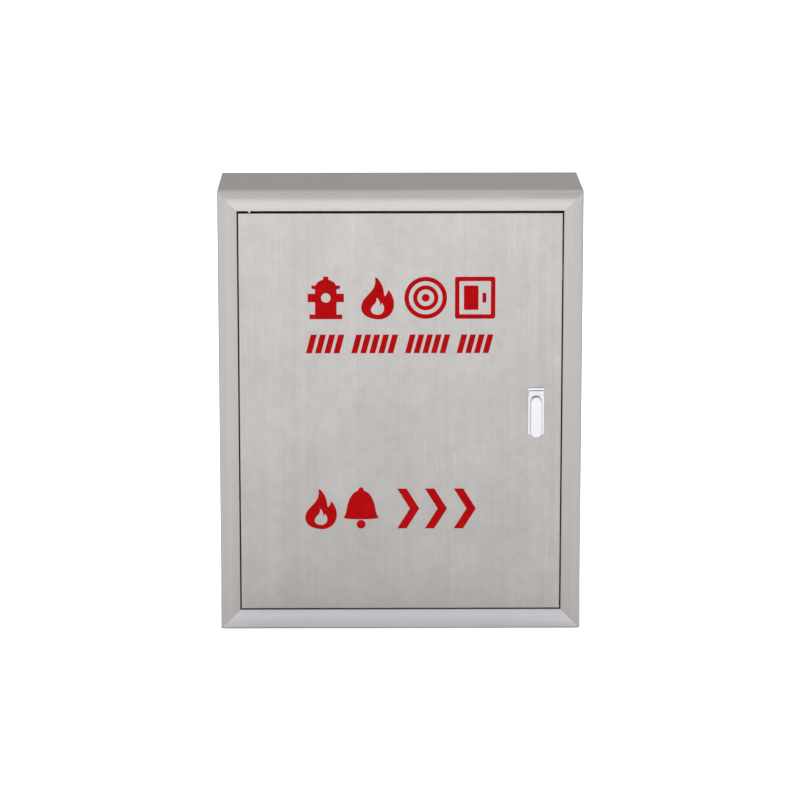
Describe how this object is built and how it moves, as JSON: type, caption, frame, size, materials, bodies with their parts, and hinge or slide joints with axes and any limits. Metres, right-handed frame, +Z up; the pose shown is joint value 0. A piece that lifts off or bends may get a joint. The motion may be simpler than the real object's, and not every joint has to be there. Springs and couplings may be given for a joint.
{
  "type": "standpipe cabinet",
  "caption": "Stainless steel fire standpipe wall cabinet with a pivot-hung door, press-and-turn lock, landing valve and hose reel.",
  "frame": {"origin": "centre of the base, on the underside of the bottom panel midway between the frame plane and the wall", "axes": "+Z up, -Y out of the door towards the user, +Y into the wall, +X to the right seen from the front"},
  "size_m": [0.65, 0.2496, 0.8],
  "materials": {
    "stainless_horizontal": "stainless sheet brushed along its length",
    "stainless_vertical": "stainless sheet brushed up and down",
    "stainless_door": "finely brushed stainless sheet",
    "stainless_wall": "stainless sheet, mill brushed",
    "zinc_steel": "zinc-plated steel",
    "lock_chrome": "satin chrome on zinc casting",
    "lock_steel": "plated steel",
    "red_paint": "red stove enamel",
    "red_casting": "red painted casting",
    "brass": "machined brass",
    "aluminium": "cast and machined aluminium",
    "rubber_black": "black rubber",
    "vinyl_red": "red vinyl sleeve",
    "pipe_steel": "red painted steel pipe",
    "black_plastic": "black moulded plastic"
  },
  "bodies": {
    "cabinet": {"frame_top": "stainless_horizontal", "frame_bottom": "stainless_horizontal", "frame_left": "stainless_vertical", "frame_right": "stainless_vertical", "top_panel": "stainless_wall", "bottom_panel": "stainless_wall", "left_panel": "stainless_wall", "right_panel": "stainless_wall", "back_panel": "stainless_wall", "pivot_pins": "lock_steel", "door_stops": "zinc_steel", "stop_buffers": "rubber_black", "valve_body": "red_casting", "seat_ring": "brass", "valve_bonnet": "red_casting", "gland_nut": "brass", "bonnet_bolts": "zinc_steel", "outlet_coupling": "aluminium", "outlet_gasket": "rubber_black", "riser_grommet": "rubber_black", "feed_grommet": "rubber_black", "reel_axle": "brass", "axle_nut": "brass", "reel_bracket": "red_paint", "bracket_bolts": "zinc_steel", "feed_pipe_lower": "pipe_steel", "feed_pipe_upper": "pipe_steel", "axle_elbow": "brass", "ball_valve_body": "brass", "pipe_clips": "zinc_steel", "nozzle_clips": "zinc_steel"},
    "door": {"door_skin": "stainless_door", "door_stiffeners": "zinc_steel", "hinge_blocks": "zinc_steel", "hinge_bushes": "brass", "lock_plate": "lock_chrome", "lock_housing": "zinc_steel", "lock_nut": "zinc_steel"},
    "lock_drive": {"lock_spindle": "lock_steel", "lock_cam": "zinc_steel", "cam_screw": "zinc_steel"},
    "handle": {"lock_handle": "lock_chrome", "handle_pin": "lock_steel"},
    "button": {"lock_button": "lock_chrome", "button_spring": "lock_steel"},
    "valve_shut_off": {"valve_disc": "brass", "disc_washer": "rubber_black"},
    "valve_wheel": {"valve_stem": "brass", "handwheel": "red_casting", "handwheel_nut": "zinc_steel"},
    "reel": {"reel_disc_front": "red_paint", "reel_disc_rear": "red_paint", "reel_bolts": "zinc_steel", "reel_drum": "red_paint", "reel_hub": "brass", "reel_outlet": "brass"},
    "ball_drive": {"ball_and_stem": "lock_steel", "ball_lever": "zinc_steel", "lever_sleeve": "vinyl_red", "lever_nut": "zinc_steel"}
  },
  "joints": [
    {"name": "door_swing", "type": "hinge", "parent": "cabinet", "child": "door", "pos_m": [-0.268, -0.112, 0.4], "axis": [0, 0, -1], "range_deg": [0, 120]},
    {"name": "lock_turn", "type": "hinge", "parent": "door", "child": "lock_drive", "pos_m": [0.2432, -0.119, 0.3652], "axis": [0, -1, 0], "range_deg": [0, 90]},
    {"name": "handle_lift", "type": "hinge", "parent": "lock_drive", "child": "handle", "pos_m": [0.2432, -0.1242, 0.3592], "axis": [1, 0, 0], "range_deg": [0, 30]},
    {"name": "button_press", "type": "slide", "parent": "door", "child": "button", "axis": [0, 1, 0], "range_m": [0, 0.0025], "stiffness_N_per_m": 400},
    {"name": "reel_spin", "type": "hinge", "parent": "cabinet", "child": "reel", "pos_m": [-0.04, 0, 0.545], "axis": [0, -1, 0], "continuous": true},
    {"name": "disc_lift", "type": "slide", "parent": "cabinet", "child": "valve_shut_off", "axis": [0, 0, 1], "range_m": [0, 0.017]},
    {"name": "handwheel_turn", "type": "hinge", "parent": "valve_shut_off", "child": "valve_wheel", "pos_m": [0.15, 0, 0.32], "axis": [0, 0, 1], "range_deg": [0, 1080]},
    {"name": "lever_turn", "type": "hinge", "parent": "cabinet", "child": "ball_drive", "pos_m": [0.262, 0.088, 0.43], "axis": [0, 1, 0], "range_deg": [0, 90]}
  ],
  "couplings": [
    {"joint": "disc_lift", "follows": "handwheel_turn", "m_per_rad": 0.0009}
  ]
}
